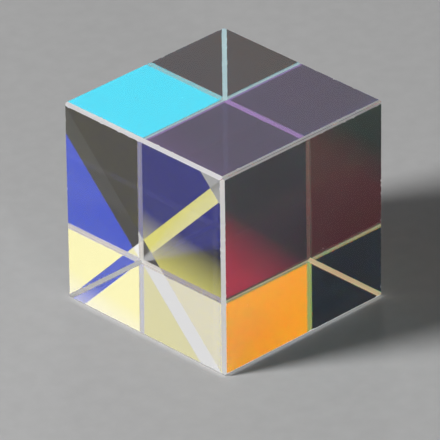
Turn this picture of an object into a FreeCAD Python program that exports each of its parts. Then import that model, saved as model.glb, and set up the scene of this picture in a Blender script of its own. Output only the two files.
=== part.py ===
"""Dichroic prism cube: four right-angle glass prisms cemented side by side round one axis.

Each prism has one broad polished face, which is a side of the cube, and two legs at 45 degrees to it,
which meet in a sharp right-angle edge. The four sharp edges run along the cube's middle, so the joints
between the prisms make an X on the two end faces. The cube is built in two steps. The front and lower
prisms, and the upper and back prisms, are cemented leg to leg into half cubes, with a red-reflecting
film on one leg of each pair. The long face of the front half then gets the blue-reflecting film, in one
piece from edge to edge, and cement joins it to the back half.

Frame: +X runs along the prisms, +Z is up, and the origin is the middle of the cube's lower face. The
front half cube is on the side of -Y.
"""

import FreeCAD, Part
import math
import os

import Sketcher

doc = FreeCAD.newDocument("dichroic_prism_cube")

# The driving dimensions, in millimetres, and the sizes that follow from them
driving_dimensions = {
    "cube_side": ("20", "across the cube, from one broad face to the opposite one"),
    "prism_length": ("20", "from one end face to the other"),
    "edge_bevel": ("0.3", "leg of the flat ground at 45 degrees on every outer edge"),
    "film_depth": ("0.01", "a dichroic film, which is a stack of evaporated layers"),
    "cement_depth": ("0.02", "the clear cement between a film and the next prism"),
}
following_sizes = {
    "half_side": ("=cube_side / 2", "from the cube's middle to a broad face"),
    "half_length": ("=prism_length / 2", "from the cube's middle to an end face"),
    "half_joint": ("=(film_depth + cement_depth) / 2", "from a diagonal plane to a prism's leg"),
    "apex_drop": ("=half_joint * sqrt(2)", "from the cube's middle to a prism's sharp edge"),
    "broad_face_width": ("=cube_side - 2 * edge_bevel", "a broad face between its bevels"),
    "diagonal_reach": ("=(cube_side - edge_bevel) / sqrt(2)", "from the middle to a bevelled edge"),
    "layer_corner_side": ("=edge_bevel / 2", "what an end bevel takes off a layer, along the cube"),
    "layer_corner_rise": ("=edge_bevel / sqrt(2)", "what it takes off a layer along the diagonal"),
}
sizes = doc.addObject("Spreadsheet::Sheet", "sizes")
for row, (name, (content, meaning)) in enumerate((driving_dimensions | following_sizes).items(), start=1):
    sizes.set(f"A{row}", name)
    sizes.set(f"B{row}", content)
    sizes.set(f"C{row}", meaning)
    sizes.setAlias(f"B{row}", name)
doc.recompute()


def size(name):
    """The sheet's value, for where a sketch's lines are first drawn."""
    return float(sizes.get(name))


# What every sketch needs. A sketch's own axes are its geometry -1 and -2, and -1's start is its origin.
HORIZONTAL_AXIS = -1
VERTICAL_AXIS = -2
ORIGIN = (-1, 1)
START = 1
END = 2


def sketch_on(body, plane_role, name):
    """An empty sketch on one of the body's own origin planes."""
    sketch = body.newObject("Sketcher::SketchObject", name)
    plane = next(plane for plane in body.Origin.OriginFeatures if plane.Role == plane_role)
    sketch.AttachmentSupport = [(plane, "")]
    sketch.MapMode = "FlatFace"
    return sketch


def draw_outline(sketch, points):
    """Straight lines from point to point and back to the first. Returns the first line's index."""
    first = sketch.GeometryCount
    corners = [FreeCAD.Vector(across, up, 0) for across, up in points]
    for start, end in zip(corners, corners[1:] + corners[:1]):
        sketch.addGeometry(Part.LineSegment(start, end), False)
    last = sketch.GeometryCount - 1
    for line in range(first, last):
        sketch.addConstraint(Sketcher.Constraint("Coincident", line, END, line + 1, START))
    sketch.addConstraint(Sketcher.Constraint("Coincident", last, END, first, START))
    return first


def constrain(sketch, kind, *references):
    sketch.addConstraint(Sketcher.Constraint(kind, *references))


def dimension(sketch, kind, references, size_name, sign=1):
    """A length between the references that follows the named size."""
    index = sketch.addConstraint(Sketcher.Constraint(kind, *references, sign * size(size_name)))
    sketch.setExpression(f"Constraints[{index}]", f"{'-' if sign < 0 else ''}sizes.{size_name}")


def draw_prism_section(body):
    """The lower prism's section, seen along the cube: a right angle with its two thin corners cut off."""
    sketch = sketch_on(body, "YZ_Plane", "section")
    half_face = size("broad_face_width") / 2
    leg_end = (size("cube_side") - size("edge_bevel") - size("apex_drop")) / 2
    draw_outline(sketch, [
        (-half_face, -size("half_side")),
        (half_face, -size("half_side")),
        (leg_end, -leg_end - size("apex_drop")),
        (0, -size("apex_drop")),
        (-leg_end, -leg_end - size("apex_drop")),
    ])
    broad_face, right_bevel, right_leg, left_leg, left_bevel = range(5)
    constrain(sketch, "Symmetric", broad_face, START, broad_face, END, VERTICAL_AXIS)
    constrain(sketch, "PointOnObject", right_leg, END, VERTICAL_AXIS)
    constrain(sketch, "Perpendicular", right_leg, left_leg)
    constrain(sketch, "Equal", right_leg, left_leg)
    constrain(sketch, "Perpendicular", right_bevel, right_leg)
    constrain(sketch, "Perpendicular", left_bevel, left_leg)
    dimension(sketch, "DistanceX", (broad_face, START, broad_face, END), "broad_face_width")
    dimension(sketch, "DistanceY", (*ORIGIN, broad_face, START), "half_side", sign=-1)
    dimension(sketch, "DistanceY", (*ORIGIN, right_leg, END), "apex_drop", sign=-1)
    return sketch


def draw_end_bevels(body):
    """The two corners that the end bevels take off the broad face, seen from the front."""
    sketch = sketch_on(body, "XZ_Plane", "end_bevels")
    for side in (-1, 1):
        corner = (side * size("half_length"), -size("half_side"))
        along = (corner[0] - side * size("edge_bevel"), corner[1])
        above = (corner[0], corner[1] + size("edge_bevel"))
        face_edge = draw_outline(sketch, [along, corner, above])
        end_edge = face_edge + 1
        constrain(sketch, "Horizontal", face_edge)
        constrain(sketch, "Vertical", end_edge)
        constrain(sketch, "Equal", face_edge, end_edge)
        dimension(sketch, "DistanceY", (end_edge, START, end_edge, END), "edge_bevel")
        dimension(sketch, "DistanceX", (*ORIGIN, face_edge, END), "half_length", sign=side)
        dimension(sketch, "DistanceY", (*ORIGIN, face_edge, END), "half_side", sign=-1)
    return sketch


def make_prism(label, turn):
    """One glass prism, drawn as the lower one and turned about the cube's axis to its own side."""
    body = doc.addObject("PartDesign::Body", label)
    body.Label = label

    blank = body.newObject("PartDesign::Pad", "blank")
    blank.Profile = draw_prism_section(body)
    blank.SideType = "Symmetric"
    blank.setExpression("Length", "sizes.prism_length")
    doc.recompute()

    bevels = body.newObject("PartDesign::Pocket", "bevels")
    bevels.Profile = draw_end_bevels(body)
    bevels.Type = "ThroughAll"
    bevels.SideType = "Symmetric"
    doc.recompute()
    if not bevels.Shape.Volume < blank.Shape.Volume:
        raise RuntimeError(f"{label}: the end bevels cut nothing")

    body.Placement.Rotation = FreeCAD.Rotation(FreeCAD.Vector(1, 0, 0), turn)
    body.setExpression("Placement.Base.z", "sizes.half_side")
    return body


def draw_layer_outline(body, inner_end):
    """A layer from inner_end, near the cube's middle, out to the bevelled edge of the cube."""
    sketch = sketch_on(body, "XY_Plane", "outline")
    half_length = size("half_length")
    reach = size("diagonal_reach")
    corner_start = reach - size("layer_corner_rise")
    outer_half = half_length - size("layer_corner_side")
    inner = size(inner_end) if inner_end else 0
    draw_outline(sketch, [
        (-half_length, inner),
        (half_length, inner),
        (half_length, corner_start),
        (outer_half, reach),
        (-outer_half, reach),
        (-half_length, corner_start),
    ])
    inner_edge, right_end, right_corner, outer_edge, left_corner, left_end = range(6)
    constrain(sketch, "Symmetric", inner_edge, START, inner_edge, END, VERTICAL_AXIS)
    constrain(sketch, "Symmetric", outer_edge, START, outer_edge, END, VERTICAL_AXIS)
    constrain(sketch, "Symmetric", right_end, END, left_end, START, VERTICAL_AXIS)
    constrain(sketch, "Vertical", right_end)
    dimension(sketch, "DistanceX", (inner_edge, START, inner_edge, END), "prism_length")
    dimension(sketch, "DistanceX", (right_corner, END, right_corner, START), "layer_corner_side")
    dimension(sketch, "DistanceY", (right_corner, START, right_corner, END), "layer_corner_rise")
    dimension(sketch, "DistanceY", (*ORIGIN, outer_edge, START), "diagonal_reach")
    if inner_end:
        dimension(sketch, "DistanceY", (*ORIGIN, inner_edge, START), inner_end)
    else:
        constrain(sketch, "PointOnObject", inner_edge, START, HORIZONTAL_AXIS)
    return sketch


def make_layer(label, start, depth, tilt, half_turn=0, full_width=False):
    """A film or a cement layer in one diagonal plane of the cube.

    It starts at the height start from that plane and is depth thick. Half a layer runs from the joint in
    the other diagonal plane to an edge of the cube, and a full one from edge to edge.
    """
    body = doc.addObject("PartDesign::Body", label)
    body.Label = label

    outline = draw_layer_outline(body, None if full_width else "half_joint")
    outline.setExpression("AttachmentOffset.Base.z", start)
    sheet = body.newObject("PartDesign::Pad", "sheet")
    sheet.Profile = outline
    sheet.setExpression("Length", depth)
    doc.recompute()
    if full_width:
        other_half = body.newObject("PartDesign::Mirrored", "other_half")
        other_half.Originals = [sheet]
        other_half.MirrorPlane = (outline, ["H_Axis"])
        body.Tip = other_half
        doc.recompute()

    about_its_normal = FreeCAD.Rotation(FreeCAD.Vector(0, 0, 1), half_turn)
    about_the_axis = FreeCAD.Rotation(FreeCAD.Vector(1, 0, 0), tilt)
    body.Placement.Rotation = about_the_axis.multiply(about_its_normal)
    body.setExpression("Placement.Base.z", "sizes.half_side")
    return body


# The four prisms, each with its broad face on its own side of the cube
prism_turns = {"lower_prism": 0, "back_prism": 90, "upper_prism": 180, "front_prism": 270}
pieces = [make_prism(label, turn) for label, turn in prism_turns.items()]

# The layers lie on each other across a joint: the film first, then the cement
film = {"start": "-sizes.half_joint", "depth": "sizes.film_depth"}
cement = {"start": "-sizes.half_joint + sizes.film_depth", "depth": "sizes.cement_depth"}

# The blue-reflecting film is on the front half cube's long face, which rises to the front
rising_forward = {"tilt": -45, "full_width": True}
pieces.append(make_layer("blue_film", **film, **rising_forward))
pieces.append(make_layer("main_cement", **cement, **rising_forward))

# The red-reflecting film is on one leg of the lower prism and one of the back prism, in one plane
rising_back = {"tilt": 45}
down_to_the_front = {"tilt": 45, "half_turn": 180}
pieces.append(make_layer("back_red_film", **film, **rising_back))
pieces.append(make_layer("back_cement", **cement, **rising_back))
pieces.append(make_layer("front_red_film", **film, **down_to_the_front))
pieces.append(make_layer("front_cement", **cement, **down_to_the_front))

doc.recompute()
for item in doc.Objects:
    if "Invalid" in item.State or "Error" in item.State:
        raise RuntimeError(f"{item.Name} did not build: {item.State}")
for piece in pieces:
    if piece.Shape.isNull() or not piece.Shape.isValid() or len(piece.Shape.Solids) != 1:
        raise RuntimeError(f"{piece.Label} is not one sound solid")

# Together the pieces fill the bevelled cube, apart from slivers thinner than a film along the bevels
edge_flat = size("edge_bevel") ** 2 / 2
edges_along = 4 * size("prism_length")
edges_across = 8 * size("cube_side")
ground_off = edge_flat * (edges_along + edges_across)
block = size("cube_side") ** 2 * size("prism_length") - ground_off
glass_and_layers = sum(piece.Shape.Volume for piece in pieces)
print(f"pieces {glass_and_layers:.3f} mm3, bevelled block about {block:.3f} mm3")
if not math.isclose(glass_and_layers, block, rel_tol=1e-3):
    raise RuntimeError("the pieces do not fill the cube")

os.makedirs("parts", exist_ok=True)
for piece in pieces:
    piece.Shape.exportStep(f"parts/{piece.Label}.step")
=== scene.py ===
import math
import random

import bmesh
import bpy
from mathutils import Matrix, Vector


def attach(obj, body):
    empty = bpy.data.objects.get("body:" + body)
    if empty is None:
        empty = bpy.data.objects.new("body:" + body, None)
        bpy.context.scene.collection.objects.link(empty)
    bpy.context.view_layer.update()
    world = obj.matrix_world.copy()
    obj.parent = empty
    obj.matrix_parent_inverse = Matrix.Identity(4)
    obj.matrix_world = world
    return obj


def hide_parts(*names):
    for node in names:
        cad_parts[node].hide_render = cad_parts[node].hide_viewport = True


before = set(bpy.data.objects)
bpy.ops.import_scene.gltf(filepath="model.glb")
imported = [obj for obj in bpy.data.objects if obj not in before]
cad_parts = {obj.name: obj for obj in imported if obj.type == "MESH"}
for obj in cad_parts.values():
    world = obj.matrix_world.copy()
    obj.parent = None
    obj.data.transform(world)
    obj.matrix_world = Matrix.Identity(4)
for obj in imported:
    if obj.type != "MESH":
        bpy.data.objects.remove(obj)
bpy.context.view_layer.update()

# The four glass prisms. Each is a right-angle prism of crown glass with one broad polished side, two
# polished ends and two legs that meet in the cube's middle. Its outer edges are ground to a fine matt
# flat by hand on a lap, so their borders are slightly uneven, with a few tiny chips.
HALF_SIDE = 0.010
BEVEL_LEG = 0.0003
BEVEL_CUTS = 90
CUT_WANDER = 0.35
CUT_MERGE = 1e-7
BORDER_WANDER = 0.000012
BORDER_SWING = (-0.6, 1.0)
CHIP_DEPTH = (0.00003, 0.00009)
CHIPS_PER_BORDER = 5
CHIP_SEED = 7
SAME_WAY = 0.01
# Half of a film with its cement, and a hair of room, so that no leg touches them.
HALF_JOINT = 0.000016
POLISHED, GROUND, JOINED = 0, 1, 2
GLASS_INDEX = 1.53
# The share of the glass behind them that the wiping haze and a speck of dust hide.
HAZE_SHARE, SPECK_SHARE = 0.006, 0.55
# How much lamp light a face lets into the glass, and out of it, where most is turned back.
LIGHT_LET_IN, LIGHT_LET_OUT = 0.90, 0.06
prism_turns = {"lower": 0, "back": 90, "upper": 180, "front": 270}


class Wire:
    """One output in a material's nodes. Arithmetic on wires and numbers adds its own Math nodes."""

    def __init__(self, tree, socket=None):
        self.tree = tree
        self.socket = socket

    def node(self, kind, inputs=None, output=0, stops=None, **settings):
        """Adds a node: its settings come first, then the values or wires of its sockets."""
        made = self.tree.nodes.new(kind)
        for name, value in settings.items():
            setattr(made, name, value)
        for place, (position, shade) in enumerate(stops or []):
            if place >= 2:
                made.color_ramp.elements.new(position)
            made.color_ramp.elements[place].position = position
            made.color_ramp.elements[place].color = shade
        for name, value in (inputs or {}).items():
            if isinstance(value, Wire):
                self.tree.links.new(value.socket, made.inputs[name])
            else:
                made.inputs[name].default_value = value
        return Wire(self.tree, made.outputs[output] if made.outputs else None)

    def math(self, operation, *terms):
        return self.node("ShaderNodeMath", dict(enumerate(terms)), operation=operation)

    def __add__(self, other):
        return self.math("ADD", self, other)

    def __sub__(self, other):
        return self.math("SUBTRACT", self, other)

    def __rsub__(self, other):
        return self.math("SUBTRACT", other, self)

    def __mul__(self, other):
        return self.math("MULTIPLY", self, other)

    __radd__ = __add__
    __rmul__ = __mul__

    def between(self, low, high):
        """0 before low, 1 past high and a straight slope from one to the other, either way round."""
        return self.node("ShaderNodeMapRange", {"Value": self, "From Min": low, "From Max": high})

    def blend(self, under, over):
        """Where this wire is 0 the first shader shows, and where it is 1 the second one."""
        return self.node("ShaderNodeMixShader", {0: self, 1: under, 2: over})


def start_finish(name):
    """A new material with empty nodes, and a wire to build them from."""
    material = bpy.data.materials.new(name)
    material.use_nodes = True
    material.node_tree.nodes.clear()
    return material, Wire(material.node_tree)


def grey(value):
    return (value, value, value, 1.0)


def clean_glass(wire, place):
    """Clear optical glass with a faint haze of wiping marks and a few specks of dust."""
    glass = wire.node("ShaderNodeBsdfGlass", {"Color": grey(1.0), "Roughness": 0.0, "IOR": GLASS_INDEX})
    lint = wire.node("ShaderNodeBsdfDiffuse", {"Color": (0.86, 0.84, 0.80, 1.0)})
    specks = wire.node("ShaderNodeTexVoronoi", {"Vector": place, "Scale": 700.0, "Randomness": 1.0})
    crowd = wire.node("ShaderNodeTexNoise", {"Vector": place, "Scale": 160.0, "Detail": 2.0})
    speck = (1 - specks.between(0.035, 0.055)) * crowd.between(0.60, 0.66)
    wiped = wire.node(
        "ShaderNodeTexNoise", {"Vector": place, "Scale": 90.0, "Detail": 5.0, "Distortion": 1.5}
    )
    haze = wiped.between(0.45, 0.80) * HAZE_SHARE
    dusty = (speck * SPECK_SHARE + haze).blend(glass, lint)
    let_in = wire.node("ShaderNodeBsdfTransparent", {"Color": grey(LIGHT_LET_IN)})
    let_out = wire.node("ShaderNodeBsdfTransparent", {"Color": grey(LIGHT_LET_OUT)})
    lamp_light = wire.node("ShaderNodeNewGeometry", output="Backfacing").blend(let_out, let_in)
    shadow = wire.node("ShaderNodeLightPath", output="Is Shadow Ray")
    return shadow.blend(dusty, lamp_light)


def polished_glass():
    material, wire = start_finish("polished_glass")
    place = wire.node("ShaderNodeTexCoord", output="Object")
    wire.node("ShaderNodeOutputMaterial", {"Surface": clean_glass(wire, place)})
    return material


def ground_glass():
    """The matt edge: a fine grey-white grain that scatters light out of the glass and back into it."""
    material, wire = start_finish("ground_edge")
    place = wire.node("ShaderNodeTexCoord", output="Object")
    grain = wire.node("ShaderNodeTexNoise", {"Vector": place, "Scale": 9000.0, "Detail": 3.0})
    patches = wire.node("ShaderNodeTexNoise", {"Vector": place, "Scale": 700.0, "Detail": 4.0})
    tone = wire.node(
        "ShaderNodeValToRGB",
        {"Fac": grain * 0.55 + patches * 0.45},
        stops=[(0.30, (0.82, 0.80, 0.83, 1.0)), (0.70, (0.97, 0.95, 0.97, 1.0))],
    )
    bump = wire.node("ShaderNodeBump", {"Strength": 0.4, "Distance": 0.00002, "Height": grain})
    matt = wire.node(
        "ShaderNodeBsdfPrincipled",
        {"Base Color": tone, "Roughness": 0.75, "Specular IOR Level": 0.2, "Normal": bump},
    )
    glowing = wire.node("ShaderNodeBsdfTranslucent", {"Color": (0.95, 0.94, 0.96, 1.0), "Normal": bump})
    scatter = (0.35 + patches * 0.3).blend(matt, glowing)
    wire.node("ShaderNodeOutputMaterial", {"Surface": scatter})
    return material


def joined_face():
    """A leg set in cement of the glass's own index, so light goes straight through it."""
    material, wire = start_finish("cemented_leg")
    place = wire.node("ShaderNodeTexCoord", output="Object")
    sleek = wire.node(
        "ShaderNodeTexNoise", {"Vector": place, "Scale": 60.0, "Detail": 6.0, "Distortion": 2.0}
    )
    clear = wire.node("ShaderNodeBsdfTransparent", {"Color": grey(1.0)})
    trace = wire.node("ShaderNodeBsdfDiffuse", {"Color": grey(0.8)})
    marks = sleek.between(0.60, 0.85) * 0.004
    wire.node("ShaderNodeOutputMaterial", {"Surface": marks.blend(clear, trace)})
    return material


def cut_flat(shape, normal, distance, finish):
    """Takes off all that lies past a plane and closes the cut with a face of the given finish."""
    direction = Vector(normal).normalized()
    cut = bmesh.ops.bisect_plane(
        shape,
        geom=shape.verts[:] + shape.edges[:] + shape.faces[:],
        plane_co=direction * distance,
        plane_no=direction,
        clear_outer=True,
    )
    border = [item for item in cut["geom_cut"] if isinstance(item, bmesh.types.BMEdge)]
    for face in bmesh.ops.edgeloop_fill(shape, edges=border)["faces"]:
        face.material_index = finish


def roughen_bevels(shape, chance):
    """Divides the ground flats along their length and lets their borders wander in the polished faces."""
    for axis in range(3):
        step = 2 * HALF_SIDE / BEVEL_CUTS
        along = Vector([float(axis == other) for other in range(3)])
        for cut in range(1, BEVEL_CUTS):
            spot = -HALF_SIDE + (cut + chance.uniform(-CUT_WANDER, CUT_WANDER)) * step
            flats = [
                face for face in shape.faces
                if face.material_index == GROUND and abs(face.normal.dot(along)) < SAME_WAY
            ]
            lines = {line for face in flats for line in face.edges}
            ends = {end for line in lines for end in line.verts}
            bmesh.ops.bisect_plane(
                shape, geom=[*flats, *lines, *ends], plane_co=along * spot, plane_no=along, dist=CUT_MERGE
            )
    shape.normal_update()
    borders = {}
    for point in shape.verts:
        touching = [face for face in point.link_faces if face.material_index != GROUND]
        flats = [face for face in point.link_faces if face.material_index == GROUND]
        if len(touching) != 1 or touching[0].material_index != POLISHED or len(flats) != 2:
            continue
        if (flats[0].normal - flats[1].normal).length > SAME_WAY:
            continue
        polished = touching[0].normal
        inward = polished.cross(polished.cross(flats[0].normal)).normalized()
        border = (tuple(round(part) for part in polished), inward.to_tuple(1))
        borders.setdefault(border, []).append((point, inward))
    for border in sorted(borders):
        row = borders[border]
        reach = [chance.uniform(*BORDER_SWING) * BORDER_WANDER for _ in row]
        for _ in range(CHIPS_PER_BORDER):
            reach[chance.randrange(len(row))] = chance.uniform(*CHIP_DEPTH)
        for (point, inward), distance in zip(row, reach):
            point.co += inward * distance


prism_finishes = [polished_glass(), ground_glass(), joined_face()]
bevel_distance = (2 * HALF_SIDE - BEVEL_LEG) / math.sqrt(2)
chance = random.Random(CHIP_SEED)
for side, turn in prism_turns.items():
    shape = bmesh.new()
    bmesh.ops.create_cube(shape, size=2 * HALF_SIDE)
    for normal in ((0, 1, -1), (0, -1, -1), (1, 0, -1), (-1, 0, -1)):
        cut_flat(shape, normal, bevel_distance, GROUND)
    for normal in ((0, 1, 1), (0, -1, 1)):
        cut_flat(shape, normal, -HALF_JOINT, JOINED)
    roughen_bevels(shape, chance)
    bmesh.ops.recalc_face_normals(shape, faces=shape.faces)
    about_the_axis = Matrix.Rotation(math.radians(turn), 3, "X")
    bmesh.ops.rotate(shape, verts=shape.verts, cent=(0, 0, 0), matrix=about_the_axis)
    bmesh.ops.translate(shape, verts=shape.verts, vec=(0, 0, HALF_SIDE))
    mesh = bpy.data.meshes.new(f"{side}_glass_prism")
    shape.to_mesh(mesh)
    shape.free()
    for finish in prism_finishes:
        mesh.materials.append(finish)
    prism = bpy.data.objects.new(f"{side}_glass_prism", mesh)
    bpy.context.scene.collection.objects.link(prism)
    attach(prism, "root")
    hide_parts(f"{side}_prism")

# The dichroic films. A stack of clear layers, each a fraction of a micrometre deep, is evaporated on a
# polished leg. It mirrors one band of colours and passes the rest, and the band moves with the angle at
# which light meets it. The blue film lies on the front half cube's long face, the red one on two legs.
# At some angles the films' rows below lose much of the light as painted shade, which darkens the glass.
END_SKIN = 0.0000005
COAT_UNEVENNESS = 0.014
HALF_ROOT = math.sqrt(0.5)
# A film's coated face lies further than this from the joint's middle, and its other face nearer.
COAT_EDGE = 0.0000125


def at_end(along):
    """1 on a layer's end, which is polished together with the prisms' ends."""
    distance = along.math("ABSOLUTE", along)
    return distance.math("GREATER_THAN", distance, HALF_SIDE - END_SKIN)


def dichroic_film(name, lean, angles, lamp_tint):
    """Mixes the film's colours from rows of an angle of incidence, what it mirrors and what it passes.

    Only the face on the prism is coated: light would otherwise meet the same stack twice.
    """
    material, wire = start_finish(name)
    place = wire.node("ShaderNodeTexCoord", output="Object")
    spots = wire.node("ShaderNodeTexNoise", {"Vector": place, "Scale": 180.0, "Detail": 4.0})
    facing = wire.node("ShaderNodeLayerWeight", {"Blend": 0.5}, output="Facing")
    cosine = 1 - facing + (spots - 0.5) * COAT_UNEVENNESS
    stack = before = None
    for angle, mirrored, passed in angles:
        shine = wire.node("ShaderNodeBsdfAnisotropic", {"Color": (*mirrored, 1.0), "Roughness": 0.0})
        through = wire.node("ShaderNodeBsdfTransparent", {"Color": (*passed, 1.0)})
        layer = wire.node("ShaderNodeAddShader", {0: shine, 1: through})
        here = math.cos(math.radians(angle))
        stack = cosine.between(before, here).blend(stack, layer) if stack else layer
        before = here
    clear = wire.node("ShaderNodeBsdfTransparent", {"Color": grey(1.0)})
    along = wire.node("ShaderNodeSeparateXYZ", {0: place})
    across = wire.node("ShaderNodeSeparateXYZ", {0: place}, output="Y")
    up = wire.node("ShaderNodeSeparateXYZ", {0: place}, output="Z")
    offset = (up - HALF_SIDE + across * lean) * HALF_ROOT
    coated = offset.math("LESS_THAN", offset, -COAT_EDGE)
    lamp_light = wire.node("ShaderNodeBsdfTransparent", {"Color": (*lamp_tint, 1.0)})
    stack = wire.node("ShaderNodeLightPath", output="Is Shadow Ray").blend(stack, lamp_light)
    inside = coated.blend(clear, stack)
    wire.node("ShaderNodeOutputMaterial", {"Surface": at_end(along).blend(inside, clean_glass(wire, place))})
    return material


# Rows whose mirrored and passed colours add to much less than white, as at 68 and 74 degrees, hold painted
# shade: the lost share darkens what is seen through the glass at that angle.
blue_reflecting = dichroic_film("blue_reflecting_film", 1, [
    (31, (0.00, 0.82, 1.00), (0.50, 0.12, 0.00)),
    (33, (0.00, 0.28, 0.48), (1.00, 0.68, 0.00)),
    (59, (0.00, 0.04, 0.58), (0.98, 0.93, 0.50)),
    (68, (0.02, 0.10, 0.09), (0.32, 0.05, 0.15)),
    (74, (0.08, 0.04, 0.08), (0.62, 0.25, 0.70)),
    (86, (0.92, 0.92, 0.90), (0.08, 0.08, 0.08)),
], (1.0, 0.93, 0.80))
red_reflecting = dichroic_film("red_reflecting_film", -1, [
    (31, (0.08, 0.03, 0.08), (0.60, 0.92, 0.98)),
    (33, (0.95, 0.06, 0.16), (0.05, 0.62, 0.30)),
    (59, (0.73, 0.69, 0.15), (0.02, 0.03, 0.54)),
    (68, (0.30, 0.30, 0.32), (0.40, 0.40, 0.40)),
    (74, (0.35, 0.35, 0.38), (0.40, 0.40, 0.40)),
    (86, (0.80, 0.80, 0.82), (0.14, 0.14, 0.15)),
], (0.85, 0.97, 1.0))
for name, coat in (
    ("blue_film", blue_reflecting),
    ("front_red_film", red_reflecting),
    ("back_red_film", red_reflecting),
):
    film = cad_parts[name]
    film.data.materials.clear()
    film.data.materials.append(coat)

# The clear cement. Each film is joined to the next prism with an ultraviolet-cured optical cement whose
# index matches the glass, so the layer shows only by a few bubbles as small as the specks of dust.
BUBBLE_SHARE = 0.4


def optical_cement():
    material, wire = start_finish("clear_cement")
    place = wire.node("ShaderNodeTexCoord", output="Object")
    clear = wire.node("ShaderNodeBsdfTransparent", {"Color": (0.995, 0.995, 0.985, 1.0)})
    bubble = wire.node("ShaderNodeBsdfDiffuse", {"Color": grey(0.85)})
    cells = wire.node("ShaderNodeTexVoronoi", {"Vector": place, "Scale": 420.0, "Randomness": 1.0})
    crowd = wire.node("ShaderNodeTexNoise", {"Vector": place, "Scale": 120.0, "Detail": 1.0})
    bubbles = (1 - cells.between(0.03, 0.05)) * crowd.between(0.66, 0.70)
    along = wire.node("ShaderNodeSeparateXYZ", {0: place})
    inside = (bubbles * BUBBLE_SHARE).blend(clear, bubble)
    wire.node("ShaderNodeOutputMaterial", {"Surface": at_end(along).blend(inside, clean_glass(wire, place))})
    return material


cement_finish = optical_cement()
for name in ("main_cement", "front_cement", "back_cement"):
    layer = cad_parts[name]
    layer.data.materials.clear()
    layer.data.materials.append(cement_finish)

# The studio: a plain pale table top a hair below the cube, a soft lamp on the left with two weak ones
# near the table in front and behind, and three white panels for the glass to mirror and pass on.
FLOOR_SIZE = 3.0
AIR_GAP = 0.00002
ROOM_LIGHT = 0.018
PANEL_DIM_HEIGHT, PANEL_FULL_HEIGHT = -0.042, 0.021
CUBE_MIDDLE = Vector((0.0, 0.0, HALF_SIDE))


def towards(azimuth, elevation):
    """The direction at an azimuth from +X towards +Y and an elevation above the table, in degrees."""
    around, above = math.radians(azimuth), math.radians(elevation)
    level = math.cos(above)
    return Vector((level * math.cos(around), level * math.sin(around), math.sin(above)))


def table_top():
    material, wire = start_finish("pale_table")
    place = wire.node("ShaderNodeTexCoord", output="Object")
    fine = wire.node("ShaderNodeTexNoise", {"Vector": place, "Scale": 600.0, "Detail": 3.0})
    tone = wire.node(
        "ShaderNodeValToRGB", {"Fac": fine}, stops=[(0.3, grey(0.60)), (0.7, grey(0.63))]
    )
    matt = wire.node(
        "ShaderNodeBsdfPrincipled", {"Base Color": tone, "Roughness": 0.9, "Specular IOR Level": 0.0}
    )
    wire.node("ShaderNodeOutputMaterial", {"Surface": matt})
    return material


def panel_light(lower, upper, soft_edge, half_width, side):
    """A white light that is brighter in its upper part and fades out over one upright edge."""
    material, wire = start_finish("light_panel")
    place = wire.node("ShaderNodeTexCoord", output="Object")
    across = wire.node("ShaderNodeSeparateXYZ", {0: place})
    height = wire.node("ShaderNodeSeparateXYZ", {0: place}, output="Y")
    below = wire.node("ShaderNodeEmission", {"Color": grey(1.0), "Strength": lower})
    above = wire.node("ShaderNodeEmission", {"Color": grey(1.0), "Strength": upper})
    dark = wire.node("ShaderNodeEmission", {"Color": grey(1.0), "Strength": 0.0})
    lit = (half_width - across * side).between(0.0, soft_edge)
    glow = height.between(PANEL_DIM_HEIGHT, PANEL_FULL_HEIGHT).blend(below, above)
    shown = lit.blend(dark, glow)
    wire.node("ShaderNodeOutputMaterial", {"Surface": shown})
    return material


def add_panel(name, place, half_size, levels, soft_edge, side=1):
    """A light panel that faces the cube, at an azimuth, an elevation and a distance.

    Its levels are those of its lower and upper part, and its side says which upright edge is soft.
    """
    azimuth, elevation, distance = place
    half_width, half_height = half_size
    shape = bmesh.new()
    bmesh.ops.create_grid(shape, x_segments=1, y_segments=1, size=1.0)
    bmesh.ops.scale(shape, verts=shape.verts, vec=(half_width, half_height, 1.0))
    mesh = bpy.data.meshes.new(name)
    shape.to_mesh(mesh)
    shape.free()
    mesh.materials.append(panel_light(*levels, soft_edge, half_width, side))
    panel = bpy.data.objects.new(name, mesh)
    direction = towards(azimuth, elevation)
    panel.location = CUBE_MIDDLE + direction * distance
    panel.rotation_euler = (-direction).to_track_quat("-Z", "Y").to_euler()
    panel.visible_diffuse = False
    bpy.context.scene.collection.objects.link(panel)


shape = bmesh.new()
bmesh.ops.create_grid(shape, x_segments=1, y_segments=1, size=FLOOR_SIZE / 2)
bmesh.ops.translate(shape, verts=shape.verts, vec=(0, 0, -AIR_GAP))
mesh = bpy.data.meshes.new("table_top")
shape.to_mesh(mesh)
shape.free()
mesh.materials.append(table_top())
table = bpy.data.objects.new("table_top", mesh)
bpy.context.scene.collection.objects.link(table)

add_panel("back_panel", (43, 35, 0.6), (0.16, 0.15), levels=(0.78, 1.05), soft_edge=0.02)
add_panel("right_panel", (-54, 30, 0.6), (0.1258, 0.16), levels=(1.1, 1.1), soft_edge=0.010)
add_panel("front_panel", (234, 30, 0.7), (0.161, 0.18), levels=(0.18, 0.18), soft_edge=0.008, side=-1)


def add_lamp(name, place, width, energy):
    """A round soft lamp, placed as a panel is, that the glass doesn't show as a spot."""
    azimuth, elevation, distance = place
    light = bpy.data.lights.new(name, "AREA")
    light.shape = "DISK"
    light.size = width
    light.energy = energy
    lamp = bpy.data.objects.new(name, light)
    direction = towards(azimuth, elevation)
    lamp.location = CUBE_MIDDLE + direction * distance
    lamp.rotation_euler = (-direction).to_track_quat("-Z", "Y").to_euler()
    lamp.visible_glossy = False
    lamp.visible_transmission = False
    bpy.context.scene.collection.objects.link(lamp)


add_lamp("side_lamp", (154, 29, 0.8), width=0.24, energy=7.2)
add_lamp("front_lamp", (245, 4, 0.9), width=0.14, energy=3.6)
add_lamp("back_lamp", (45, 3, 0.9), width=0.10, energy=3.0)

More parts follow.
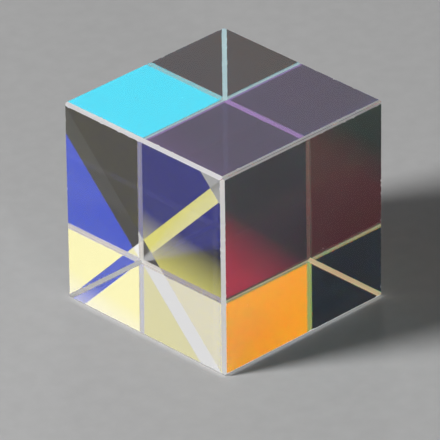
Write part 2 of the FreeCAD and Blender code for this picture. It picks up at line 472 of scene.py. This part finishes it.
world = bpy.data.worlds.new("dim_room")
world.use_nodes = True
backdrop = world.node_tree.nodes["Background"]
backdrop.inputs["Color"].default_value = grey(1.0)
backdrop.inputs["Strength"].default_value = ROOM_LIGHT
scene = bpy.context.scene
scene.world = world
scene.view_settings.view_transform = "Standard"
scene.cycles.max_bounces = 32
scene.cycles.transmission_bounces = 24
scene.cycles.glossy_bounces = 24
scene.cycles.transparent_max_bounces = 64
scene.cycles.caustics_reflective = True
scene.cycles.caustics_refractive = True

# The camera: a long lens at the photograph's viewing angle. It looks down at the upright edge between
# the front side and the near end, and is turned a little so that the cube stands where it does there.
VIEW_AZIMUTH = -44.33
VIEW_ELEVATION = 29.30
VIEW_ROLL = -0.66
VIEW_DISTANCE = 0.600
LENS_PIXELS = 6752.0
FRAME_PIXELS = 440
SENSOR = 36.0
MIDDLE_PIXEL = (224.3, 199.6)

sideways, above = math.radians(VIEW_AZIMUTH), math.radians(VIEW_ELEVATION)
back = Vector((
    math.sin(sideways) * math.cos(above),
    -math.cos(sideways) * math.cos(above),
    math.sin(above),
))
level = Vector((math.cos(sideways), math.sin(sideways), 0.0))
upright = back.cross(level)
tilt = math.radians(VIEW_ROLL)
right = level * math.cos(tilt) + upright * math.sin(tilt)
up = upright * math.cos(tilt) - level * math.sin(tilt)
eye = CUBE_MIDDLE + back * VIEW_DISTANCE
pixel_size = VIEW_DISTANCE / LENS_PIXELS
off_centre = [pixel - FRAME_PIXELS / 2 for pixel in MIDDLE_PIXEL]
aim = CUBE_MIDDLE - right * off_centre[0] * pixel_size + up * off_centre[1] * pixel_size
back = (eye - aim).normalized()
right = up.cross(back).normalized()
up = back.cross(right)
lens = bpy.data.cameras.new("camera")
lens.sensor_width = SENSOR
lens.lens = LENS_PIXELS / FRAME_PIXELS * SENSOR
lens.clip_start = 0.05
lens.clip_end = 20.0
camera = bpy.data.objects.new("camera", lens)
camera.matrix_world = Matrix.Translation(eye) @ Matrix((right, up, back)).transposed().to_4x4()
scene.collection.objects.link(camera)
scene.camera = camera
